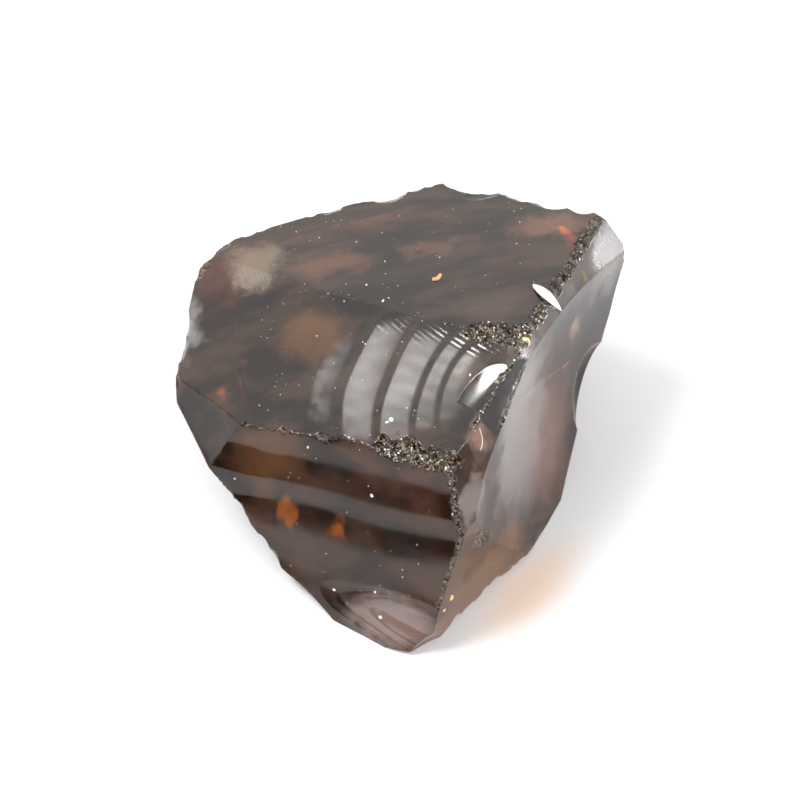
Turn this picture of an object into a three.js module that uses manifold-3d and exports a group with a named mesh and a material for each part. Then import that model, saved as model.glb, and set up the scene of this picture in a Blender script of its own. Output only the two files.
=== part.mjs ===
// A broken lump of smoky quartz, about 45 mm across: one solid piece of clear brown stone.
// It has no crystal faces left. Every side is a fracture, so the stone is made as it was broken:
// a rough block loses one slab of waste after another, and each slab leaves one fracture behind.
// Millimetres, +Z up. It lies on a flat at z = 0, with the middle of its box over the origin.
import * as THREE from 'three';
import { mergeVertices } from 'three/addons/utils/BufferGeometryUtils.js';
import Module from 'manifold-3d';

const wasm = await Module();
wasm.setup();

// The rough block that the stone is broken out of. Its underside is left as the flat at z = 0.
const BLOCK_SIDE = 64;
const BLOCK_HEIGHT = 32;

// Each slab of waste is a square sheet: half its side, its steps across and its thickness.
const LARGE_REACH = 38;
const SMALL_REACH = 9;
const STEPS = 22;
const WASTE_DEPTH = 50;

// A hollow is given as how far the fracture rises this far from its deepest point.
const HOLLOW_SPAN = 20;

// The large fractures, in the order in which they broke. at is a point on the fracture, and
// facing is the way it looks. hollow is its rise along the fracture and up it: above zero is a
// dished scar, and below zero is a swelling one.
const LARGE = [
  { name: 'top', at: [-0.1, 7.8, 20.9], facing: [-0.151, 0.135, 0.979], hollow: [-0.5, 0.1] },
  { name: 'wave_face', at: [-5.1, -1.4, 19.2], facing: [-0.355, -0.21, 0.911], hollow: [0, -1] },
  { name: 'front_left', at: [-4.9, -16.1, 7.1], facing: [-0.48, -0.76, 0.44], hollow: [0.1, 1] },
  { name: 'right', at: [11.7, -6.1, 16], facing: [0.9, -0.43, 0.06], hollow: [1.8, 4] },
  { name: 'right_foot', at: [5.93, -19.08, 3], facing: [0.78, -0.62, 0], hollow: [3.5, 0.2] },
  { name: 'right_heel', at: [18.09, -3.5, 5.39], facing: [0.951, -0.123, -0.285], hollow: [-1.4, 1] },
  { name: 'nub_top', at: [20.9, 10.7, 20.3], facing: [0.78, -0.3, 0.55], hollow: [-0.6, 1] },
  { name: 'nub_side', at: [21, 10.5, 12.5], facing: [0.76, 0.5, -0.4], hollow: [0.4, 0.4] },
  { name: 'back_right', at: [11.3, 18.5, 19.3], facing: [0.43, 0.885, 0.12], hollow: [-0.6, 0.8] },
  { name: 'back_left', at: [-5.16, 19.36, 18.12], facing: [-0.27, 0.94, 0.2], hollow: [-1.5, 0.6] },
  { name: 'left_side', at: [-21.4, 6.7, 14], facing: [-0.92, 0.26, -0.3], hollow: [-0.8, 0.6] },
  { name: 'left_shoulder', at: [-20.2, 12.7, 16], facing: [-0.85, 0.5, 0.15], hollow: [-0.8, 0.6] },
  { name: 'under_left', at: [-14.18, -12.33, 4.43], facing: [-0.72, -0.12, -0.7], hollow: [0, 0.5] },
  { name: 'under_back', at: [-4, 21.3, 2.5], facing: [-0.12, 0.62, -0.78], hollow: [0.3, 1] },
  { name: 'under_heel', at: [15.5, 14.7, 1.5], facing: [0.5, 0.25, -0.83], hollow: [0.5, 1] },
  { name: 'under_right', at: [9.09, -15.87, 0.48], facing: [0.336, -0.302, -0.89], hollow: [-0.4, 1] },
  { name: 'under_toe', at: [-1, -23.1, 0.5], facing: [-0.14, -0.75, -0.66], hollow: [0, 1] },
];

// Small scars where flakes came off along the edges. Their sheets are short, and stay local
// because their hollows are deep.
const SMALL = [
  { name: 'corner_scar', at: [6.5, -15.1, 18.3], facing: [0.47, -0.73, 0.5], hollow: [3, 2] },
  { name: 'gouge', at: [10.1, -8.5, 21.3], facing: [0.66, -0.62, 0.42], hollow: [4, 8] },
  { name: 'left_swirl', at: [-18, -5.8, 10.3], facing: [-0.67, -0.52, 0.53], hollow: [2, 4] },
  { name: 'toe_scar', at: [-1.61, -19.91, 3.25], facing: [-0.453, -0.798, 0.398], hollow: [1.5, 24.2] },
  { name: 'leaf_chip', at: [8.43, -7.07, 22.81], facing: [-0.27, -0.35, 0.9], hollow: [25, 6] },
  { name: 'rim_scar', at: [8.5, 18.6, 20.28], facing: [-0.13, 0.34, 0.93], hollow: [14, 70] },
  { name: 'tip_chip', at: [2.6, -22.45, 1], facing: [0.45, -0.85, -0.25], hollow: [20, 20] },
  { name: 'left_chip', at: [-8.79, -16.78, 0.83], facing: [-0.69, -0.55, -0.463], hollow: [8, 8] },
  { name: 'nub_notch', at: [18.05, 5.86, 9.62], facing: [0.85, -0.38, -0.36], hollow: [50, 35] },
];

// The sheet's own directions: along the fracture, up it, and out of the stone.
function sheetAxes(facing) {
  const out = new THREE.Vector3(...facing).normalize();
  const along = new THREE.Vector3(0, 0, 1).cross(out).normalize();
  const up = out.clone().cross(along);
  return { along, up, out };
}

function fractureHeight(s, t, [alongHollow, upHollow]) {
  return alongHollow * (s / HOLLOW_SPAN) ** 2 + upHollow * (t / HOLLOW_SPAN) ** 2;
}

function solid(geometry) {
  const bare = geometry.clone();
  bare.deleteAttribute('normal');
  bare.deleteAttribute('uv');
  const merged = mergeVertices(bare, 1e-5);
  return new wasm.Manifold(new wasm.Mesh({
    numProp: 3,
    vertProperties: new Float32Array(merged.attributes.position.array),
    triVerts: new Uint32Array(merged.index.array),
  }));
}

// One slab of waste: a thick square sheet whose inner side is bent to the fracture's shape.
function waste({ at, facing, hollow }, reach) {
  const slab = new THREE.BoxGeometry(2 * reach, 2 * reach, WASTE_DEPTH, STEPS, STEPS, 1);
  slab.translate(0, 0, WASTE_DEPTH / 2);
  const points = slab.attributes.position;
  for (let i = 0; i < points.count; i += 1) {
    if (points.getZ(i) < WASTE_DEPTH / 2) {
      points.setZ(i, fractureHeight(points.getX(i), points.getY(i), hollow));
    }
  }
  const { along, up, out } = sheetAxes(facing);
  slab.applyMatrix4(new THREE.Matrix4().makeBasis(along, up, out).setPosition(...at));
  return solid(slab);
}

function breakOut() {
  const block = new THREE.BoxGeometry(BLOCK_SIDE, BLOCK_SIDE, BLOCK_HEIGHT);
  block.translate(0, 0, BLOCK_HEIGHT / 2);
  let stone = solid(block);
  for (const fracture of LARGE) {
    stone = stone.subtract(waste(fracture, LARGE_REACH));
  }
  for (const fracture of SMALL) {
    stone = stone.subtract(waste(fracture, SMALL_REACH));
  }
  return stone;
}

function toGeometry(manifold) {
  const mesh = manifold.getMesh();
  const geometry = new THREE.BufferGeometry();
  geometry.setAttribute('position', new THREE.BufferAttribute(mesh.vertProperties, 3));
  geometry.setIndex(new THREE.BufferAttribute(mesh.triVerts, 1));
  return geometry;
}

const stoneGeometry = toGeometry(breakOut());
stoneGeometry.computeBoundingBox();
const middle = stoneGeometry.boundingBox.getCenter(new THREE.Vector3());
stoneGeometry.translate(-middle.x, -middle.y, -stoneGeometry.boundingBox.min.z);
stoneGeometry.computeVertexNormals();

const smokyQuartz = new THREE.MeshStandardMaterial({
  name: 'smoky_quartz',
  color: 0x4a3024,
  roughness: 0.06,
  metalness: 0,
  transparent: true,
  opacity: 0.9,
});

const stone = new THREE.Mesh(stoneGeometry, smokyQuartz);
stone.name = 'smoky_quartz';

const object = new THREE.Group();
object.add(stone);

export default object;
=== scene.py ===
# A broken lump of smoky quartz lying on a pale table, seen from above its pointed front.
import math

import bmesh
import bpy
import numpy as np
from mathutils import Matrix, Vector


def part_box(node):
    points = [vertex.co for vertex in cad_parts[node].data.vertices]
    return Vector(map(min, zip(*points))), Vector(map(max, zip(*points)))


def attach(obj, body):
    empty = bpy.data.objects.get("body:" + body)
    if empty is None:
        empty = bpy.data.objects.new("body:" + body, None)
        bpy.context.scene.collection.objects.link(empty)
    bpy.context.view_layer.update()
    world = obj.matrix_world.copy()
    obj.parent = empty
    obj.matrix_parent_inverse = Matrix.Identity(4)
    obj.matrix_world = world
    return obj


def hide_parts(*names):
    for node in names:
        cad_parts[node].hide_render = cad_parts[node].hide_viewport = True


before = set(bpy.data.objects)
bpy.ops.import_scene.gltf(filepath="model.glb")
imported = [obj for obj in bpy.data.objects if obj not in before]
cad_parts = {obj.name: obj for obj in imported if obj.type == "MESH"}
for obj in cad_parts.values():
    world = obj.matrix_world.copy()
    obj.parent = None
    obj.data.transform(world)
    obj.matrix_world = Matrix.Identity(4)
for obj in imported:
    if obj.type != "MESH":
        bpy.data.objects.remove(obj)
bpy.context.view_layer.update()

scene = bpy.context.scene
MM = 0.001


# The camera. It stands a hand's length in front of the stone and looks down on it, with a long
# lens, so the near corner is only a little larger than the far one.
CAMERA_TILT = math.radians(50)
CAMERA_DISTANCE = 220 * MM
CAMERA_AIM = Vector((-0.26, -0.33, 10)) * MM
LENS = 99

camera = bpy.data.objects.new("camera", bpy.data.cameras.new("camera"))
scene.collection.objects.link(camera)
camera.data.lens = LENS
camera.data.sensor_width = 36
camera.data.clip_start = 10 * MM
towards_camera = Vector((0, -math.cos(CAMERA_TILT), math.sin(CAMERA_TILT)))
camera.location = CAMERA_AIM + CAMERA_DISTANCE * towards_camera
camera.rotation_euler = towards_camera.to_track_quat("Z", "Y").to_euler()
scene.camera = camera


# The table and the light. A white table runs out of view in a dim room. A strong lamp stands high
# on the left and makes the bright glints, and wide pale panels stand behind, in front and on the
# right. A dark card out of view on the left gives the front of the stone something dark to mirror.
TABLE_SIDE = 4.0
TABLE_GAP = 0.05 * MM
TABLE_WHITE = (0.70, 0.70, 0.71, 1)
ROOM_BRIGHTNESS = 0.7

scene.view_settings.view_transform = "Standard"

room = bpy.data.worlds.new("dim_room")
room.use_nodes = True
room.node_tree.nodes["Background"].inputs["Color"].default_value = (1.0, 1.0, 1.0, 1.0)
room.node_tree.nodes["Background"].inputs["Strength"].default_value = ROOM_BRIGHTNESS
scene.world = room


def node(tree, kind, inputs=None, **settings):
    """A new node with its settings made, and its inputs set or linked, each by name or number."""
    made = tree.nodes.new(kind)
    for key, value in settings.items():
        setattr(made, key, value)
    for key, value in (inputs or {}).items():
        if isinstance(value, bpy.types.NodeSocket):
            tree.links.new(value, made.inputs[key])
        else:
            made.inputs[key].default_value = value
    return made


def new_paint(name):
    """A new material, its node tree and the sockets of its Principled shader."""
    made = bpy.data.materials.new(name)
    made.use_nodes = True
    return made, made.node_tree, made.node_tree.nodes["Principled BSDF"].inputs


# A painted caustic: the light that has gone through the thin foot of the stone is painted onto the table beside
# it as a faint amber patch.
PAINTED_POOL_MIDDLE = (12.5 * MM, -16.5 * MM, 0)
PAINTED_POOL_REACH = (11 * MM, 4.5 * MM, 1)
PAINTED_POOL_TURN = (0, 0, math.radians(50))
PAINTED_POOL_STRENGTH = 0.75
PAINTED_POOL_AMBER = (0.82, 0.60, 0.44, 1)

table_paint, tree, surface = new_paint("white_table")
table_place = node(tree, "ShaderNodeTexCoord").outputs["Object"]
spread = node(tree, "ShaderNodeMapping", {"Vector": table_place, "Location": PAINTED_POOL_MIDDLE, "Rotation": PAINTED_POOL_TURN,
                                          "Scale": PAINTED_POOL_REACH}, vector_type="TEXTURE")
away = node(tree, "ShaderNodeVectorMath", {0: spread.outputs[0]}, operation="LENGTH")
painted_pool = node(tree, "ShaderNodeMapRange", {"Value": away.outputs["Value"], "From Min": 1.0, "From Max": 0.1,
                                         "To Max": PAINTED_POOL_STRENGTH}, interpolation_type="SMOOTHSTEP")
amber = node(tree, "ShaderNodeMix", {0: painted_pool.outputs[0], 6: TABLE_WHITE, 7: PAINTED_POOL_AMBER}, data_type="RGBA")
tree.links.new(amber.outputs[2], surface["Base Color"])
surface["Roughness"].default_value = 0.6

bpy.ops.mesh.primitive_plane_add(size=TABLE_SIDE, location=(0, 0, -TABLE_GAP))
table = bpy.context.object
table.name = "table"
table.data.materials.append(table_paint)


def panel(name, direction, distance, side, brightness):
    """A square lamp that faces the stone, with the brightness that its front shows."""
    lamp = bpy.data.lights.new(name, "AREA")
    lamp.shape = "SQUARE"
    lamp.size = side
    lamp.energy = brightness * math.pi * side * side
    holder = bpy.data.objects.new(name, lamp)
    scene.collection.objects.link(holder)
    out = Vector(direction).normalized()
    holder.location = distance * out
    holder.rotation_euler = out.to_track_quat("Z", "Y").to_euler()


panel("lamp", (-0.50, 0.0, 0.87), 0.8, 0.27, 24)
panel("left_panel", (-0.35, 0.62, 0.70), 0.95, 1.5, 0.8)
panel("front_panel", (0.55, -0.55, 0.63), 0.95, 0.8, 3.1)
panel("right_panel", (0.95, 0.28, 0.06), 0.8, 0.25, 18)

CARD_SIZE = (64 * MM, 54 * MM, 1)
CARD_PLACE = (-94 * MM, -86 * MM, 27.5 * MM)
CARD_FACING = Vector((0.79, 0.61, 0))

card_paint, tree, surface = new_paint("dark_card")
surface["Base Color"].default_value = (0.02, 0.02, 0.02, 1)
surface["Roughness"].default_value = 0.9
bpy.ops.mesh.primitive_plane_add(size=1)
card = bpy.context.object
card.name = "dark_card"
card.scale = CARD_SIZE
card.location = CARD_PLACE
card.rotation_euler = CARD_FACING.to_track_quat("Z", "Y").to_euler()
card.data.materials.append(card_paint)


# The stone: one piece of clear brown quartz. It has no crystal faces left. Each side is a
# fracture, so it is made as it was broken, by taking one slab of waste after another off a lump
# that is a little larger than the finished stone.
HOLLOW_SPAN = 20
WASTE_DEPTH = 45
LUMP_SCALE = 1.09

# at, facing and hollow place a fracture: a point on it, the way it looks, and its rise along it
# and up it at the hollow span. reach is half of the sheet's side, and cell its mesh size. All are in
# millimetres.
LARGE = {
    "top": dict(at=(-0.36, 7.17, 20.9), facing=(-0.151, 0.135, 0.979), hollow=(-0.5, 0.1),
                reach=27, cell=0.3),
    "wave_face": dict(at=(-5.36, -2.03, 19.2), facing=(-0.355, -0.21, 0.911), hollow=(0, -1),
                      reach=24, cell=0.132),
    "front_left": dict(at=(-5.16, -16.73, 7.1), facing=(-0.48, -0.76, 0.44), hollow=(0.1, 1),
                       reach=22, cell=0.24),
    "right": dict(at=(11.44, -6.73, 16), facing=(0.9, -0.43, 0.06), hollow=(1.8, 4),
                  reach=28, cell=0.3),
    "right_foot": dict(at=(5.67, -19.71, 3), facing=(0.78, -0.62, 0), hollow=(3.5, 0.2),
                       reach=28, cell=0.3),
    "right_heel": dict(at=(17.83, -4.13, 5.39), facing=(0.951, -0.123, -0.285), hollow=(-1.4, 1),
                       reach=24, cell=0.5),
    "nub_top": dict(at=(20.64, 10.07, 20.3), facing=(0.78, -0.3, 0.55), hollow=(-0.6, 1),
                    reach=28, cell=0.35),
    "nub_side": dict(at=(20.74, 9.87, 12.5), facing=(0.76, 0.5, -0.4), hollow=(0.4, 0.4),
                     reach=26, cell=0.5),
    "back_right": dict(at=(11.04, 17.87, 19.3), facing=(0.43, 0.885, 0.12), hollow=(-0.6, 0.8),
                       reach=28, cell=0.5),
    "back_left": dict(at=(-5.42, 18.73, 18.12), facing=(-0.27, 0.94, 0.2), hollow=(-1.5, 0.6),
                      reach=28, cell=0.5),
    "left_side": dict(at=(-21.66, 6.07, 14), facing=(-0.92, 0.26, -0.3), hollow=(-0.8, 0.6),
                      reach=26, cell=0.5),
    "left_shoulder": dict(at=(-20.46, 12.07, 16), facing=(-0.85, 0.5, 0.15), hollow=(-0.8, 0.6),
                          reach=26, cell=0.5),
    "under_left": dict(at=(-14.44, -12.96, 4.43), facing=(-0.72, -0.12, -0.7), hollow=(0, 0.5),
                       reach=28, cell=0.5),
    "under_back": dict(at=(-4.26, 20.67, 2.5), facing=(-0.12, 0.62, -0.78), hollow=(0.3, 1),
                       reach=26, cell=0.5),
    "under_heel": dict(at=(15.24, 14.07, 1.5), facing=(0.5, 0.25, -0.83), hollow=(0.5, 1),
                       reach=26, cell=0.5),
    "under_right": dict(at=(8.83, -16.5, 0.48), facing=(0.336, -0.302, -0.89), hollow=(-0.4, 1),
                        reach=28, cell=0.5),
    "under_toe": dict(at=(-1.26, -23.73, 0.5), facing=(-0.14, -0.75, -0.66), hollow=(0, 1),
                      reach=26, cell=0.5),
    "flat": dict(at=(0, 0, 0), facing=(0, 0, -1), hollow=(0, 0), reach=32, cell=2),
}
SMALL = {
    "corner_scar": dict(at=(6.24, -15.73, 18.3), facing=(0.47, -0.73, 0.5), hollow=(3, 2),
                        reach=9, cell=0.2),
    "gouge": dict(at=(9.84, -9.13, 21.3), facing=(0.66, -0.62, 0.42), hollow=(4, 8),
                  reach=9, cell=0.18),
    "left_swirl": dict(at=(-18.26, -6.43, 10.3), facing=(-0.67, -0.52, 0.53), hollow=(2, 4),
                       reach=9, cell=0.2),
    "toe_scar": dict(at=(-1.87, -20.54, 3.25), facing=(-0.453, -0.798, 0.398), hollow=(1.5, 24.2),
                     reach=9, cell=0.15),
    "leaf_chip": dict(at=(8.17, -7.7, 22.81), facing=(-0.27, -0.35, 0.9), hollow=(25, 6),
                      reach=4, cell=0.15),
    "rim_scar": dict(at=(8.24, 17.97, 20.28), facing=(-0.13, 0.34, 0.93), hollow=(14, 70),
                     reach=8, cell=0.16),
    "tip_chip": dict(at=(2.34, -23.08, 1), facing=(0.45, -0.85, -0.25), hollow=(20, 20),
                     reach=8, cell=0.2),
    "left_chip": dict(at=(-9.05, -17.41, 0.83), facing=(-0.69, -0.55, -0.463), hollow=(8, 8),
                      reach=8, cell=0.2),
    "nub_notch": dict(at=(17.79, 5.23, 9.62), facing=(0.85, -0.38, -0.36), hollow=(50, 35),
                      reach=8, cell=0.2),
}
FRACTURES = {**LARGE, **SMALL}


def sheet_axes(facing):
    """The sheet's own directions: along the fracture, up it, and out of the stone."""
    out = Vector(facing).normalized()
    along = Vector((0, 0, 1)).cross(out)
    along = along.normalized() if along.length > 1e-6 else Vector((1, 0, 0))
    return np.array(along), np.array(out.cross(along)), np.array(out)


def swell(s, t, length, seed):
    """Smooth, uneven waves of about the given length, between -1 and 1."""
    dice = np.random.default_rng(seed)
    total = np.zeros_like(s)
    for turn, phase, stretch in zip(dice.uniform(0, math.tau, 6), dice.uniform(0, math.tau, 6),
                                    dice.uniform(0.7, 1.5, 6)):
        total += np.sin((s * math.cos(turn) + t * math.sin(turn)) * math.tau / length * stretch + phase)
    return total / 6


def ridge(x, inner, outer):
    """A crest at 0 that falls slowly on its inner side and quickly on its outer side."""
    fall = np.where(x < 0, 1 + x / inner, 1 - x / outer).clip(0, 1)
    return fall * fall * (3 - 2 * fall) * 0.5 + 0.5 * fall * fall


# STRIKE is where the blow fell, measured along and up the rippled face. Each ripple has its radius
# round it, its rise, and its width on its inner and its outer side.
STRIKE = (19, 12)
RIPPLES = ((20.9, 0.30, 3.2, 1.5), (16.8, 0.34, 3.6, 1.1), (13.2, 0.17, 1.9, 0.9), (11.0, 0.12, 1.6, 0.8),
           (24.8, 0.09, 2.2, 1.4), (28.0, 0.06, 2.2, 1.4))
HACKLE_HEIGHT = 0.045


def wave_relief(s, t):
    """Ripples round a blow beyond the corner, and fine hackles that run down from the ridge."""
    r = np.hypot(s - STRIKE[0], t - STRIKE[1]) + 0.3 * swell(s, t, 11, 5)
    height = np.zeros_like(s)
    for radius, rise, inner, outer in RIPPLES:
        height += rise * ridge(r - radius, inner, outer)
    into = (s + 13.8) * 0.52 - (t + 1.7) * 0.854
    height *= 1 - 0.75 * np.exp(-(into.clip(0, None) / 1.3) ** 2)
    w = t + 0.15 * (s + 10) - 0.0133 * (s + 10) ** 2
    length = 2.6 + 1.3 * swell(w, 0.1 * s, 1.3, 21)
    strength = (1 - into.clip(0, None) / length).clip(0, 1) * (0.35 + 0.65 / (1 + np.exp(-(s + 5) / 2)))
    comb = np.sin(w * math.tau / 0.52 + 3 * swell(w, 0 * w, 2.3, 22)) + 0.6 * np.sin(w * math.tau / 0.37 + 1)
    return height + HACKLE_HEIGHT * strength * comb


def relief(name, s, t):
    """How far a fracture's surface stands out of its own plane, in millimetres."""
    along, up = FRACTURES[name]["hollow"]
    height = along * (s / HOLLOW_SPAN) ** 2 + up * (t / HOLLOW_SPAN) ** 2
    if name == "flat":
        return height
    seed = list(FRACTURES).index(name)
    height = height + 0.04 * swell(s, t, 9, seed) + 0.006 * swell(s, t, 2.2, seed + 40)
    if name == "wave_face":
        height = height + wave_relief(s, t)
    if name == "nub_top":
        height = height - 0.05 * t
    if name == "front_left":
        q = 0.968 * t - 0.251 * s
        phase = (q - 4.4) * math.tau / 5.6 + 0.5 * swell(s, t, 14, 31)
        main = np.exp(-((q - 5.4) / 3.2) ** 2)
        height = height + (0.03 + 0.08 * main) * np.sin(phase) + 0.025 * main * np.sin(2 * phase)
    if name == "toe_scar":
        out = sheet_axes(FRACTURES[name]["facing"])[2]
        depth = -stand_off("front_left", flat_point(name, s, t) + height[..., None] * out)
        height = height - 0.10 * np.exp(-((depth - 0.16) / 0.07) ** 2)
        height = height + 0.10 * np.exp(-((depth - 0.38) / 0.07) ** 2)
    return height


def flat_point(name, s, t):
    """The points of a fracture's plane at the given distances along it and up it, in millimetres."""
    along, up, out = sheet_axes(FRACTURES[name]["facing"])
    return np.array(FRACTURES[name]["at"]) + s[..., None] * along + t[..., None] * up


def stand_off(name, points):
    """How far points stand above a fracture's surface, in millimetres."""
    along, up, out = sheet_axes(FRACTURES[name]["facing"])
    away = points - np.array(FRACTURES[name]["at"])
    return away @ out - relief(name, away @ along, away @ up)


def waste_slab(name):
    """A slab of waste whose inner side has the fracture's shape, as a closed mesh."""
    place = FRACTURES[name]
    along, up, out = sheet_axes(place["facing"])
    count = int(round(2 * place["reach"] / place["cell"])) + 1
    line = np.linspace(-place["reach"], place["reach"], count)
    s, t = np.meshgrid(line, line, indexing="ij")
    height = relief(name, s, t)
    flat = flat_point(name, s, t)
    inner = (flat + height[..., None] * out).reshape(-1, 3)
    index = np.arange(count * count).reshape(count, count)
    rim = np.concatenate([index[:-1, 0], index[-1, :-1], index[:0:-1, -1], index[0, :0:-1]])
    outer = flat.reshape(-1, 3)[rim] + WASTE_DEPTH * out
    far = len(inner) + np.arange(len(rim))
    cells = np.stack([index[:-1, :-1], index[:-1, 1:], index[1:, 1:], index[1:, :-1]], -1)
    sides = np.stack([rim, np.roll(rim, -1), np.roll(far, -1), far], -1)
    faces = cells.reshape(-1, 4).tolist() + sides.tolist() + [far.tolist()]
    mesh = bpy.data.meshes.new(name)
    mesh.from_pydata((np.concatenate([inner, outer]) * MM).tolist(), [], faces)
    return mesh


def in_scene(name, mesh):
    piece = bpy.data.objects.new(name, mesh)
    scene.collection.objects.link(piece)
    return piece


def finished_mesh(piece):
    """The piece's mesh with its modifiers carried out."""
    seen = piece.evaluated_get(bpy.context.evaluated_depsgraph_get())
    return bpy.data.meshes.new_from_object(seen)


def take_off(stone, waste):
    """Cut the waste off the stone and throw it away."""
    cut = stone.modifiers.new("fracture", "BOOLEAN")
    cut.operation = "DIFFERENCE"
    cut.solver = "MANIFOLD"
    cut.object = waste
    mesh = finished_mesh(stone)
    stone.modifiers.clear()
    stone.data = mesh
    bpy.data.objects.remove(waste)


cad_low, cad_high = (Vector(corner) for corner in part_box("smoky_quartz"))
cad_middle = (cad_low + cad_high) / 2

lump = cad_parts["smoky_quartz"].data.copy()
lump.materials.clear()
lump.transform(Matrix.Translation(cad_middle) @ Matrix.Scale(LUMP_SCALE, 4) @ Matrix.Translation(-cad_middle))
stone = in_scene("quartz_stone", lump)
weld = stone.modifiers.new("weld", "WELD")
weld.merge_threshold = 0.001 * MM
stone.data = finished_mesh(stone)
stone.modifiers.clear()
for name in FRACTURES:
    take_off(stone, in_scene(name, waste_slab(name)))


# The stone's own material: clear brown glass that grows darker with depth, with smoky clouds,
# iron stain in the veils just under the surface, and a whitish bruised skin on the crumbled edges.
# Some patches are painted light: an amber glow on the foot, pale reflections on the right side and
# the corner, and cream highlights on the nub. Its patterns are placed in millimetres.
THIN_SMOKE = (0.22, 0.125, 0.08)
THICK_SMOKE = (0.045, 0.024, 0.014)
DARK_GOUGE = (0.012, 0.009, 0.007)
CRUSHED_DARK = (0.025, 0.019, 0.014)
CRUSHED_PALE = (0.62, 0.57, 0.46)
CRUSHED_GOLD = (0.50, 0.35, 0.14)
QUARTZ_IOR = 1.544

# Each stain or patch of painted light has a middle, a reach along x, y and z, a strength and a tone.
STAINS_AND_PAINTED_LIGHT = [
    ((14.74, 11.87, 22), (6, 2.6, 3), 0.8, (0.80, 0.40, 0.24)),
    ((-7.7, 9.2, 19.6), (7, 2.4, 3), 0.6, (0.72, 0.34, 0.18)),
    ((3.0, 10.2, 20.8), (5, 1.6, 3), 0.5, (0.66, 0.34, 0.2)),
    ((8.74, 0.37, 23), (5, 3, 3), 0.4, (0.5, 0.28, 0.18)),
    ((-8.76, 0.87, 18.6), (6, 4.5, 3), 0.6, (0.72, 0.34, 0.14)),
    ((6.74, -7.13, 22), (2.4, 3, 3), 0.5, (0.6, 0.36, 0.22)),
    ((-13.46, -9.23, 11.5), (5, 4, 5), 0.5, (0.62, 0.32, 0.14)),
    ((-10.96, -12.83, 7.6), (1.5, 1.5, 1.8), 1.0, (1.0, 0.30, 0.06)),
    ((-6.36, -15.23, 8.4), (1.2, 1.2, 1.9), 1.0, (1.0, 0.30, 0.06)),
    ((8.04, -13.13, 20.8), (2.6, 2.6, 2.4), 0.95, (1.0, 0.62, 0.46)),
    # Painted glow: the light that comes through the thin foot, painted as an amber patch.
    ((6.74, -17.63, 1.5), (12, 9, 7), 0.8, (0.85, 0.48, 0.28)),
    ((-14.86, 10.57, 18.2), (3.6, 4.6, 2.2), 0.8, (0.90, 0.74, 0.52)),
    ((21.24, 8.87, 20.5), (3.8, 9, 6), 0.95, (0.95, 0.94, 0.92)),
    # Painted reflection: the pale band that the right side mirrors.
    ((11.24, -8.63, 16), (3, 9, 12), 0.75, (0.92, 0.89, 0.88)),
    # Painted reflection: a pale band on the front corner.
    ((6.6, -17.5, 16), (1.6, 2.6, 4.5), 0.9, (0.90, 0.86, 0.84)),
    ((-21.9, 5.4, 14.6), (2.4, 5, 4), 0.95, (1.0, 0.97, 0.92)),
    ((-2.76, -22.13, 2.6), (8, 3.6, 3.6), 0.9, (0.95, 0.74, 0.66)),
    # Painted reflection: the lower right side made lighter.
    ((14, -5, 9), (5, 8, 9), 0.6, (0.80, 0.58, 0.50)),
    ((18.3, 5.4, 13.4), (3.2, 4.6, 3.6), 1.0, (0.07, 0.045, 0.035)),
    # Painted highlights: two cream glints on the nub.
    ((17.6, 3.6, 16.6), (2, 1.5, 1.2), 0.9, (0.95, 0.86, 0.72)),
    ((18.3, 3.0, 19.6), (1.0, 1.4, 1.6), 0.9, (0.95, 0.88, 0.72)),
    ((17.9, 5.6, 21.6), (0.7, 0.7, 0.9), 1.0, (0.85, 0.45, 0.10)),
]


def in_millimetres(tree):
    """The place on the stone, in millimetres."""
    metres = node(tree, "ShaderNodeTexCoord").outputs["Object"]
    return vector_of(tree, "MULTIPLY", metres, (1000, 1000, 1000))


def math_of(tree, operation, *values):
    return node(tree, "ShaderNodeMath", dict(enumerate(values)), operation=operation).outputs[0]


def vector_of(tree, operation, *values):
    return node(tree, "ShaderNodeVectorMath", dict(enumerate(values)), operation=operation).outputs[0]


def clouds(tree, place, scale, detail=3.0, roughness=0.5):
    sockets = {"Vector": place, "Scale": scale, "Detail": detail, "Roughness": roughness}
    return node(tree, "ShaderNodeTexNoise", sockets).outputs


def faded(tree, value, low, high, to_low=0.0, to_high=1.0):
    """A soft step: to_low where the value is at low, and to_high where it is at high."""
    sockets = dict(enumerate((value, low, high, to_low, to_high)))
    return node(tree, "ShaderNodeMapRange", sockets, interpolation_type="SMOOTHSTEP").outputs[0]


def blend(tree, share, *tones):
    """The first tone, with the given share of the second one over it."""
    first, second = (tone if isinstance(tone, bpy.types.NodeSocket) else (*tone, 1.0) for tone in tones)
    return node(tree, "ShaderNodeMix", {0: share, 6: first, 7: second}, data_type="RGBA").outputs[2]


def grain_kinds(tree, place, scale):
    """Three random values that stay the same within one crushed grain."""
    grain = node(tree, "ShaderNodeTexVoronoi", {"Vector": place, "Scale": scale})
    return node(tree, "ShaderNodeSeparateColor", {0: grain.outputs["Color"]}).outputs


glass, tree, surface = new_paint("smoky_quartz")
place = in_millimetres(tree)
wander = vector_of(tree, "SUBTRACT", clouds(tree, place, 0.35, 4.0, 0.6)["Color"], (0.5, 0.5, 0.5))
strayed = vector_of(tree, "ADD", place, vector_of(tree, "MULTIPLY", wander, (5, 5, 5)))


def patch(centre, reach, core=0.3):
    """A soft-edged, uneven blot: 1 in its core and 0 beyond its reach along x, y and z."""
    away = vector_of(tree, "DIVIDE", vector_of(tree, "SUBTRACT", strayed, centre), reach)
    length = node(tree, "ShaderNodeVectorMath", {0: away}, operation="LENGTH").outputs["Value"]
    return faded(tree, length, 1.0, core)


def at_least(value, blot, strength):
    """The value, raised to the given strength where the blot is."""
    return math_of(tree, "MAXIMUM", value, math_of(tree, "MULTIPLY", blot, strength))


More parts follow.
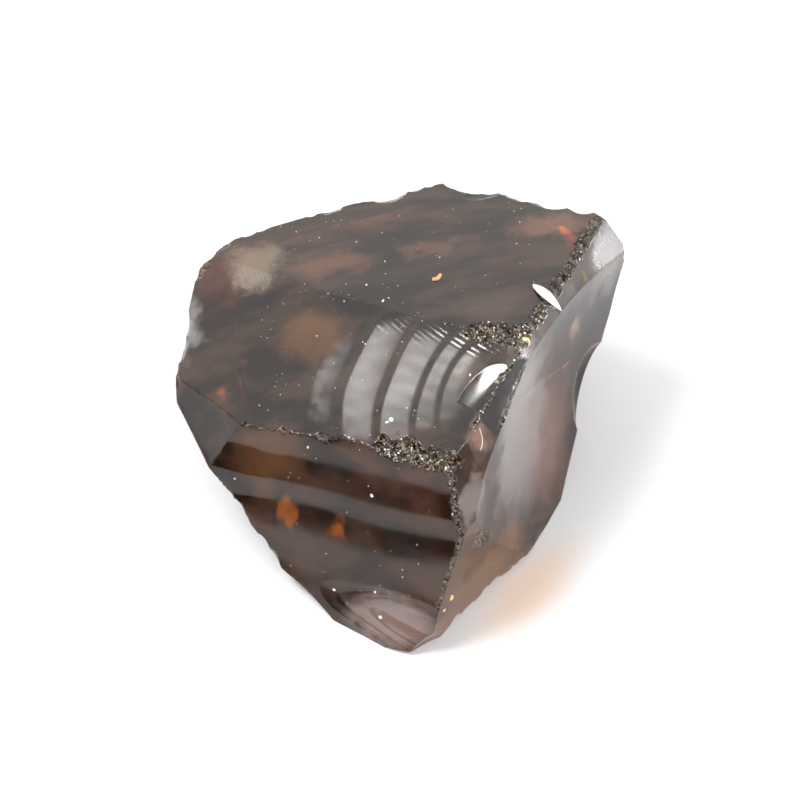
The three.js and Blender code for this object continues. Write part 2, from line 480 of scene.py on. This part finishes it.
long_way = node(tree, "ShaderNodeMapping", {"Vector": place, "Rotation": (0.0, -0.15, -0.52),
                                            "Scale": (0.09, 0.30, 0.30)}).outputs[0]
smoke_share = faded(tree, clouds(tree, long_way, 1.0, 3.0, 0.55)[0], 0.38, 0.66)
colour = blend(tree, smoke_share, THICK_SMOKE, THIN_SMOKE)
for centre, reach, strength, tone in STAINS_AND_PAINTED_LIGHT:
    colour = blend(tree, math_of(tree, "MULTIPLY", patch(centre, reach), strength), colour, tone)

bruise = node(tree, "ShaderNodeAttribute", attribute_name="bruise").outputs["Fac"]
gouge = node(tree, "ShaderNodeAttribute", attribute_name="gouge").outputs["Fac"]
colour = blend(tree, gouge, colour, DARK_GOUGE)
kinds = grain_kinds(tree, place, 4.5)
crushed = blend(tree, faded(tree, kinds[0], 0.45, 0.8), CRUSHED_DARK, CRUSHED_PALE)
crushed = blend(tree, faded(tree, kinds[1], 0.7, 0.9), crushed, CRUSHED_GOLD)
tree.links.new(blend(tree, bruise, colour, crushed), surface["Base Color"])

# Fresh fractures are glossy. The front and the rippled face are a little satin, the back left
# bruise is dull, and the right side and the toe carry a second, glossy reflection.
roughness = faded(tree, clouds(tree, place, 2.5, 5.0, 0.7)[0], 0.3, 0.8, 0.03, 0.09)
roughness = at_least(roughness, patch((-5.16, -16.63, 8), (17, 9, 13), 0.6), 0.17)
roughness = at_least(roughness, patch((-1.5, -6.5, 20.5), (15, 9, 6), 0.5), 0.27)
roughness = at_least(roughness, patch((-14.86, 10.57, 18.2), (4.2, 5, 2.6)), 0.5)
roughness = at_least(roughness, patch((21.24, 8.87, 20.5), (3.8, 9, 6)), 0.3)
roughness = at_least(roughness, bruise, 0.12)
tree.links.new(roughness, surface["Roughness"])
glossy_side = patch((11.74, -8.63, 14), (4, 12, 13), 0.5)
glossy_toe = patch((-2.76, -22.13, 2.6), (8, 3.6, 3.6))
tree.links.new(math_of(tree, "MAXIMUM", glossy_side, glossy_toe), surface["Coat Weight"])
surface["Coat Roughness"].default_value = 0.06
surface["IOR"].default_value = QUARTZ_IOR
surface["Transmission Weight"].default_value = 0.85

smoke = node(tree, "ShaderNodeVolumeAbsorption", {"Color": (0.72, 0.50, 0.28, 1), "Density": 110})
tree.links.new(smoke.outputs["Volume"], tree.nodes["Material Output"].inputs["Volume"])


# The bruises. Hard edges of quartz crumble where they were knocked: many small bowl-shaped chips
# side by side. They are taken off along the lines where two fractures meet.
CHIP_STRETCH = (0.75, 0.75, 0.75), (1.3, 1.3, 1.3)
FULL_TURN = (math.tau, math.tau, math.tau)
FINE_CHIP = 0.5


def new_group(name, **sockets):
    """A Geometry Nodes group that takes and gives a geometry, with further named inputs."""
    made = bpy.data.node_groups.new(name, "GeometryNodeTree")
    made.interface.new_socket("Geometry", in_out="INPUT", socket_type="NodeSocketGeometry")
    for label, kind in sockets.items():
        made.interface.new_socket(label, in_out="INPUT", socket_type="NodeSocket" + kind)
    made.interface.new_socket("Geometry", in_out="OUTPUT", socket_type="NodeSocketGeometry")
    return made, made.nodes.new("NodeGroupInput").outputs


def finish_group(tree, geometry, material):
    """End the group by making its instances real and painting everything."""
    real = node(tree, "GeometryNodeRealizeInstances", {"Geometry": geometry})
    coated = node(tree, "GeometryNodeSetMaterial", {"Geometry": real.outputs[0], "Material": material})
    node(tree, "NodeGroupOutput", {0: coated.outputs[0]})


def random_vector(tree, low, high, seed):
    sockets = {0: low, 1: high, "Seed": seed}
    return node(tree, "FunctionNodeRandomValue", sockets, data_type="FLOAT_VECTOR").outputs[0]


def random_size(tree, low, high, seed):
    return node(tree, "FunctionNodeRandomValue", {2: low, 3: high, "Seed": seed}, data_type="FLOAT").outputs[1]


def scaled(tree, vector, factor):
    return node(tree, "ShaderNodeVectorMath", {"Vector": vector, "Scale": factor}, operation="SCALE").outputs[0]


def run_group(piece, group, **values):
    """Carry the group out on the piece with the given inputs, and keep only the mesh."""
    slots = {item.name: item.identifier for item in group.interface.items_tree if item.in_out == "INPUT"}
    modifier = piece.modifiers.new(group.name, "NODES")
    modifier.node_group = group
    for label, value in values.items():
        modifier[slots[label]] = value
    mesh = finished_mesh(piece)
    piece.modifiers.clear()
    piece.data = mesh


chipping, given = new_group("chips_along_edge", Edge="Object", Count="Int", Smallest="Float", Largest="Float",
                            Depth="Float", Spread="Float", Outward="Vector", Detail="Int", Seed="Int",
                            Material="Material")
edge_line = node(chipping, "GeometryNodeObjectInfo", {"Object": given["Edge"]}).outputs["Geometry"]
spots = node(chipping, "GeometryNodeCurveToPoints", {"Curve": edge_line, "Count": given["Count"]})
size = random_size(chipping, given["Smallest"], given["Largest"], given["Seed"])
next_seed = math_of(chipping, "ADD", given["Seed"], 1)
depth = random_size(chipping, 0, given["Depth"], next_seed)
outward = scaled(chipping, given["Outward"], math_of(chipping, "SUBTRACT", size, depth))
stray = scaled(chipping, random_vector(chipping, (-1, -1, -1), (1, 1, 1), next_seed), given["Spread"])
offset = vector_of(chipping, "ADD", outward, stray)
placed = node(chipping, "GeometryNodeSetPosition", {"Geometry": spots.outputs["Points"], "Offset": offset})
stretch = random_vector(chipping, *CHIP_STRETCH, given["Seed"])
bowl = node(chipping, "GeometryNodeMeshIcoSphere", {"Radius": 1.0, "Subdivisions": given["Detail"]})
turn = random_vector(chipping, (0, 0, 0), FULL_TURN, given["Seed"])
chips = node(chipping, "GeometryNodeInstanceOnPoints", {
    "Points": placed.outputs[0], "Instance": bowl.outputs["Mesh"],
    "Rotation": turn, "Scale": scaled(chipping, stretch, size)})
taken = node(chipping, "GeometryNodeMeshBoolean", {0: given["Geometry"], 1: chips.outputs[0]},
             operation="DIFFERENCE", solver="MANIFOLD")
finish_group(chipping, taken.outputs[0], given["Material"])


def seam(first, second, start, end, count=60):
    """Points along the line where two fractures meet, between two places near it."""
    points = np.linspace(start, end, count)
    for _ in range(6):
        for name in (first, second):
            points = points - stand_off(name, points)[:, None] * sheet_axes(FRACTURES[name]["facing"])[2]
    return points


# between, start and end give the edge. Each lot of chips has its number, its smallest and largest
# radius, how deep they go and how far they stray from the edge, in millimetres.
BRUISES = [
    dict(between=("top", "wave_face"), start=(6.74, -3.03, 23.6), end=(12.94, -4.43, 24),
         chips=((60, 0.5, 1.2, 0.5, 0.6), (700, 0.12, 0.36, 0.3, 1.0))),
    dict(between=("top", "wave_face"), start=(-13.76, 8.87, 18.1), end=(7.74, -3.63, 23.8),
         chips=((240, 0.06, 0.13, 0.03, 0.02),)),
    dict(between=("top", "nub_top"), start=(13.34, -3.73, 24), end=(20.34, 12.97, 22),
         chips=((90, 0.3, 0.9, 0.35, 0.4), (600, 0.1, 0.3, 0.25, 0.7))),
    dict(between=("wave_face", "front_left"), start=(-2.06, -13.23, 18.2), end=(5.34, -16.83, 20),
         chips=((40, 0.7, 1.5, 0.6, 0.7), (700, 0.12, 0.36, 0.3, 1.1))),
    dict(between=("wave_face", "front_left"), start=(-15.26, -6.63, 14), end=(-2.06, -13.23, 18.2),
         chips=((26, 0.3, 1.0, 0.12, 0.1), (120, 0.08, 0.25, 0.08, 0.12))),
    dict(between=("wave_face", "gouge"), start=(6.24, -12.83, 21.3), end=(11.94, -5.33, 23.3),
         chips=((320, 0.1, 0.34, 0.15, 0.3),)),
    dict(between=("right", "gouge"), start=(8.34, -11.63, 20), end=(12.34, -6.13, 22),
         chips=((260, 0.1, 0.34, 0.15, 0.25),)),
    dict(between=("front_left", "corner_scar"), start=(5.74, -16.63, 19.4), end=(6.24, -19.73, 13),
         chips=((20, 0.4, 0.9, 0.15, 0.2), (160, 0.12, 0.35, 0.15, 0.3))),
    dict(between=("front_left", "right_foot"), start=(6.24, -19.73, 13), end=(3.74, -23.13, 4.5),
         chips=((24, 0.4, 1.2, 0.2, 0.2), (160, 0.12, 0.4, 0.15, 0.3))),
    dict(between=("top", "left_shoulder"), start=(-17.56, 8.97, 17.6), end=(-15.26, 14.37, 17.6),
         chips=((30, 0.8, 2.4, 0.25, 0.8), (90, 0.2, 0.5, 0.12, 0.8))),
    dict(between=("top", "left_side"), start=(-18.76, 3.37, 17), end=(-18.26, 8.97, 17.6),
         chips=((16, 0.8, 2.0, 0.2, 0.5),)),
    dict(between=("wave_face", "left_side"), start=(-19.26, -4.63, 12), end=(-19.26, 4.37, 15),
         chips=((16, 0.8, 2.4, 0.12, 0.5),)),
    dict(between=("top", "back_left"), start=(-15.26, 14.37, 17.6), end=(3.74, 20.37, 19.5),
         chips=((26, 0.8, 3.0, 0.12, 0.4),)),
    dict(between=("top", "back_right"), start=(4.74, 20.37, 19.5), end=(18.24, 14.37, 21),
         chips=((26, 0.8, 3.0, 0.15, 0.4), (80, 0.15, 0.4, 0.1, 0.2))),
    dict(between=("front_left", "under_left"), start=(-18.26, -8.63, 8), end=(-10.06, -17.33, 1.3),
         chips=((16, 0.8, 2.4, 0.07, 0.15), (60, 0.15, 0.4, 0.06, 0.1))),
    dict(between=("right_foot", "under_right"), start=(3.74, -22.43, 0.5), end=(13.74, -10.93, 0.5),
         chips=((16, 0.8, 2.4, 0.07, 0.15), (60, 0.15, 0.4, 0.06, 0.1))),
    dict(between=("right", "right_foot"), start=(6.74, -18.13, 10), end=(15.74, -4.63, 3),
         chips=((10, 1.0, 3.0, 0.1, 0.3),)),
    dict(between=("nub_top", "nub_side"), start=(21.74, 7.37, 20), end=(21.74, 12.37, 19),
         chips=((20, 0.8, 2.4, 0.15, 0.5),)),
]
for number, bruise in enumerate(BRUISES):
    line = seam(*bruise["between"], bruise["start"], bruise["end"])
    curve = bpy.data.curves.new("edge", "CURVE")
    curve.dimensions = "3D"
    spline = curve.splines.new("POLY")
    spline.points.add(len(line) - 1)
    spline.points.foreach_set("co", np.column_stack([line * MM, np.ones(len(line))]).ravel())
    edge = in_scene("edge", curve)
    outward = sum(sheet_axes(FRACTURES[name]["facing"])[2] for name in bruise["between"])
    outward = outward / np.linalg.norm(outward)
    for lot, (amount, smallest, largest, depth, spread) in enumerate(bruise["chips"]):
        run_group(stone, chipping, Edge=edge, Count=amount, Smallest=smallest * MM, Largest=largest * MM,
                  Depth=depth * MM, Spread=spread * MM, Outward=tuple(map(float, outward)),
                  Detail=3 if largest > FINE_CHIP else 2, Seed=100 * number + 10 * lot + 7, Material=glass)
    bpy.data.objects.remove(edge)

# Marks on the finished surface, for the material and for the crumbs: how far each point lies off
# every fracture tells where a chip was taken.
CRUMBLED_MIDDLE = (8.5, -10)
CRUMBLED_REACH = 11
GOUGE_MIDDLE = (9.75, -9.1, 21.4)
GOUGE_REACH = 3.2


def read_all(items, field, width=1, kind=float):
    """The named field of every item, as rows of the given width."""
    values = np.zeros(len(items) * width, kind)
    items.foreach_get(field, values)
    return values.reshape(-1, width) if width > 1 else values


def mark(label, values):
    mesh.attributes.new(label, "FLOAT", "POINT").data.foreach_set("value", values.astype(float))


mesh = stone.data
corners = read_all(mesh.vertices, "co", 3) / MM
gap = np.stack([np.abs(stand_off(name, corners)) for name in FRACTURES]).min(0)
near_corner = np.hypot(*(corners[:, :2] - np.array(CRUMBLED_MIDDLE)).T) < CRUMBLED_REACH
mark("crumbs", (gap > 0.03) & (corners[:, 2] > 12) & (corners[:, 0] > -3) & near_corner)
near_gouge = np.abs(corners - np.array(GOUGE_MIDDLE)).max(1) < GOUGE_REACH
mark("gouge", (np.abs(stand_off("gouge", corners)) < 0.03) & near_gouge)
mark("bruise", ((gap - 0.015) / 0.04).clip(0, 1))

# Smooth within a fracture, sharp where two meet.
centres = read_all(mesh.polygons, "center", 3) / MM
owner = np.stack([np.abs(stand_off(name, centres)) for name in FRACTURES]).argmin(0)
face_of_loop = np.repeat(np.arange(len(centres)), read_all(mesh.polygons, "loop_total", kind=int))
edge_of_loop = read_all(mesh.loops, "edge_index", kind=int)
order = np.argsort(edge_of_loop, kind="stable")
sharp = np.zeros(len(mesh.edges), bool)
sharp[edge_of_loop[order[0::2]]] = owner[face_of_loop[order[0::2]]] != owner[face_of_loop[order[1::2]]]
mesh.attributes.new("sharp_edge", "BOOLEAN", "EDGE").data.foreach_set("value", sharp)
mesh.polygons.foreach_set("use_smooth", np.ones(len(centres), bool))

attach(stone, "root")
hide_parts("smoky_quartz")


# The loose grains in the bruises: sharp crumbs of crushed quartz, dark, grey and honey coloured,
# that stay wedged between the chips. They are strewn over the chipped surface.
CRUMB_DENSITY = 5e6
CRUMB_STRETCH = (0.5, 0.5, 0.3), (1.5, 1.2, 0.7)

crumb_paint, tree, surface = new_paint("quartz_crumbs")
place = in_millimetres(tree)
kinds = grain_kinds(tree, place, 3.0)
colour = blend(tree, faded(tree, kinds[0], 0.35, 0.5), (0.05, 0.04, 0.03), (0.34, 0.30, 0.22))
colour = blend(tree, faded(tree, kinds[1], 0.6, 0.7), colour, (0.42, 0.30, 0.13))
colour = blend(tree, faded(tree, kinds[2], 0.75, 0.85), colour, (0.95, 0.94, 0.90))
tree.links.new(colour, surface["Base Color"])
tree.links.new(faded(tree, clouds(tree, place, 6.0)[0], 0.3, 0.7, 0.12, 0.5), surface["Roughness"])

strewing, given = new_group("crumbs_on_bruises", Stone="Object", Density="Float", Smallest="Float",
                            Largest="Float", Seed="Int", Material="Material")
stone_surface = node(strewing, "GeometryNodeObjectInfo", {"Object": given["Stone"]}).outputs["Geometry"]
crumb_mark = node(strewing, "GeometryNodeInputNamedAttribute", {"Name": "crumbs"}, data_type="FLOAT")
bruised = node(strewing, "FunctionNodeCompare", {0: crumb_mark.outputs["Attribute"], 1: 0.5},
               data_type="FLOAT", operation="GREATER_THAN")
found = node(strewing, "GeometryNodeDistributePointsOnFaces", {
    "Mesh": stone_surface, "Selection": bruised.outputs[0], "Density": given["Density"], "Seed": given["Seed"]})
size = random_size(strewing, given["Smallest"], given["Largest"], given["Seed"])
stretch = random_vector(strewing, *CRUMB_STRETCH, given["Seed"])
crumb = node(strewing, "GeometryNodeMeshIcoSphere", {"Radius": 1.0, "Subdivisions": 1})
turn = random_vector(strewing, (0, 0, 0), FULL_TURN, given["Seed"])
crumbs = node(strewing, "GeometryNodeInstanceOnPoints", {
    "Points": found.outputs["Points"], "Instance": crumb.outputs["Mesh"],
    "Rotation": turn, "Scale": scaled(strewing, stretch, size)})
finish_group(strewing, crumbs.outputs[0], given["Material"])

crumb_piece = in_scene("edge_crumbs", bpy.data.meshes.new("edge_crumbs"))
run_group(crumb_piece, strewing, Stone=stone, Density=CRUMB_DENSITY, Smallest=0.05 * MM, Largest=0.17 * MM,
          Seed=4, Material=crumb_paint)
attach(crumb_piece, "root")


# The dust: pale grains of grit that lie on the stone, a few larger ones among many fine ones. Each
# grain is let fall onto the finished surface.
GRAIN_UNEVENNESS = 0.12

# Each area has its near left and far right corner, and its number of grains.
DUST_AREAS = (((-13, 2), (14, 17), 46), ((-14, -6), (4, 6), 44), ((-13, -19), (3, -9), 36),
              ((-6, -22), (2, -19), 8))

# Each larger grain has its place from above, and its radius.
WHITE_GRIT = ((-1.91, 2.77, 0.16), (-1.36, 3.12, 0.1), (-1.46, -10.63, 0.22), (-1.06, -10.43, 0.27),
              (6.29, -7.59, 0.12), (-2.91, -14.83, 0.18), (-16.46, -9.03, 0.14), (-6.66, -18.23, 0.18),
              (-2.66, -19.63, 0.12), (-2.16, -21.13, 0.18), (-9.06, -10.13, 0.16))
RUST_GRIT = ((3.45, 5.37, 0.42), (3.04, 5.17, 0.26), (3.64, 5.67, 0.22))


def opaque(name, tone, roughness):
    """A dull, slightly mottled paint."""
    made, tree, surface = new_paint(name)
    mottle = clouds(tree, node(tree, "ShaderNodeTexCoord").outputs["Object"], 2500)
    darker, lighter = [part * 0.75 for part in tone], [min(part * 1.15, 1) for part in tone]
    tree.links.new(blend(tree, mottle[0], darker, lighter), surface["Base Color"])
    surface["Roughness"].default_value = roughness
    return made


def grains(name, places, sizes, material, seed):
    """Small angular grains, half sunk into the places given in millimetres."""
    dice = np.random.default_rng(seed)
    shape = bmesh.new()
    for spot, size in zip(places, sizes):
        made = bmesh.ops.create_icosphere(shape, subdivisions=1, radius=1)["verts"]
        turn = Matrix.Rotation(dice.uniform(0, math.tau), 4, Vector(dice.normal(size=3)).normalized())
        stretch = Matrix.Diagonal((*(size * dice.uniform(0.6, 1.3, 3)), 1))
        bmesh.ops.transform(shape, matrix=Matrix.Translation(spot) @ turn @ stretch, verts=made)
        for vertex in made:
            vertex.co += Vector(dice.normal(size=3)) * size * GRAIN_UNEVENNESS
    bmesh.ops.scale(shape, vec=(MM, MM, MM), verts=shape.verts)
    mesh = bpy.data.meshes.new(name)
    shape.to_mesh(mesh)
    mesh.materials.append(material)
    piece = in_scene(name, mesh)
    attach(piece, "root")


def resting_place(x, y, z=60.0, towards=(0, 0, -1)):
    """Where something that comes from a point in the given direction meets the stone, in millimetres."""
    found, spot, normal, face = stone.ray_cast(Vector((x, y, z)) * MM, Vector(towards).normalized())
    return tuple(spot / MM) if found else None


def fallen(lot):
    """The resting places and the radii of grains given as x, y and radius."""
    return [resting_place(x, y) for x, y, size in lot], [size for x, y, size in lot]


bpy.context.view_layer.update()
dice = np.random.default_rng(12)
dust_places = []
for near, far, amount in DUST_AREAS:
    spots = [resting_place(*dice.uniform(near, far)) for _ in range(amount)]
    dust_places += [spot for spot in spots if spot]
dust_sizes = 0.035 + 0.05 * dice.random(len(dust_places)) ** 3
grains("fine_dust", dust_places, dust_sizes, opaque("dust", (0.80, 0.77, 0.72), 0.8), 5)
grains("white_grit", *fallen(WHITE_GRIT), opaque("white_grit", (0.92, 0.91, 0.88), 0.6), 6)
grains("rust_grit", *fallen(RUST_GRIT), opaque("rust_grit", (0.72, 0.36, 0.18), 0.7), 7)

# Two gold-coloured grains cling to the steep foot, and one lies in the crumbled corner.
FROM_FRONT = (-0.66, 0.7, -0.25)
gold_places = [resting_place(11.54, -28.4, 8.0, FROM_FRONT), resting_place(10.74, -29.3, 7.2, FROM_FRONT),
               resting_place(11.6, -4.4)]
grains("gold_grit", gold_places, [0.32, 0.24, 0.4], opaque("gold_grit", (0.75, 0.58, 0.28), 0.5), 8)


# The pale flake: a thin, pointed, slightly bent sliver that lies across the right-hand edge.
FLAKE_ENDS = Vector((12.54, 2.77, 23.5)), Vector((15.04, -1.63, 24.5))
FLAKE_WIDTH = 0.95
FLAKE_THICKNESS = 0.16
FLAKE_RISE = 0.35
FLAKE_STEPS = 25
FLAKE_ROUND = 12

start, end = FLAKE_ENDS
run = (end - start).normalized()
top_out = Vector(sheet_axes(FRACTURES["top"]["facing"])[2])
side = top_out.cross(run).normalized()
shape = bmesh.new()
rings = []
for share in np.linspace(0, 1, FLAKE_STEPS):
    half = 0.5 * FLAKE_WIDTH * math.sin(math.pi * share ** 0.8) ** 0.8 + 0.01
    middle = start + (end - start) * share + top_out * (0.12 + FLAKE_RISE * math.sin(math.pi * share))
    ring = []
    for angle in np.linspace(0, math.tau, FLAKE_ROUND, endpoint=False):
        across = half * math.cos(angle)
        bulge = 0.5 * FLAKE_THICKNESS * math.sin(angle) * (0.25 + half / FLAKE_WIDTH)
        height = bulge - 0.25 * across * across
        ring.append(shape.verts.new((middle + side * across + top_out * height) * MM))
    rings.append(ring)
for first, second in zip(rings, rings[1:]):
    for k in range(FLAKE_ROUND):
        after = (k + 1) % FLAKE_ROUND
        shape.faces.new((first[k], first[after], second[after], second[k]))
shape.faces.new(rings[0][::-1])
shape.faces.new(rings[-1])
bmesh.ops.recalc_face_normals(shape, faces=shape.faces)
mesh = bpy.data.meshes.new("pale_flake")
shape.to_mesh(mesh)
mesh.polygons.foreach_set("use_smooth", np.ones(len(mesh.polygons), bool))
mesh.materials.append(opaque("pale_flake", (0.80, 0.79, 0.66), 0.5))
flake = in_scene("pale_flake", mesh)
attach(flake, "root")


# The fibre: one fine pale thread caught on the corner, lying on the stone all along.
FIBRE_RADIUS = 0.03 * MM
FIBRE_KNOTS = ((7.6, -13.2, 21.1), (7.9, -13.5, 20.6), (8.05, -13.8, 20.1), (7.85, -14.1, 19.7),
               (7.5, -14.3, 19.4))

fibre_curve = bpy.data.curves.new("fibre", "CURVE")
fibre_curve.dimensions = "3D"
fibre_curve.bevel_depth = FIBRE_RADIUS
fibre_curve.use_fill_caps = True
strand = fibre_curve.splines.new("NURBS")
strand.points.add(len(FIBRE_KNOTS) - 1)
for knot, spot in zip(strand.points, FIBRE_KNOTS):
    found, nearest, normal, face = stone.closest_point_on_mesh(Vector(spot) * MM)
    knot.co = (*(nearest + normal * FIBRE_RADIUS), 1)
strand.use_endpoint_u = True
strand.order_u = 4
fibre_curve.materials.append(opaque("fibre", (0.9, 0.88, 0.82), 0.7))
loose = in_scene("fibre", fibre_curve)
mesh = finished_mesh(loose)
bpy.data.objects.remove(loose)
fibre = in_scene("fibre", mesh)
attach(fibre, "root")
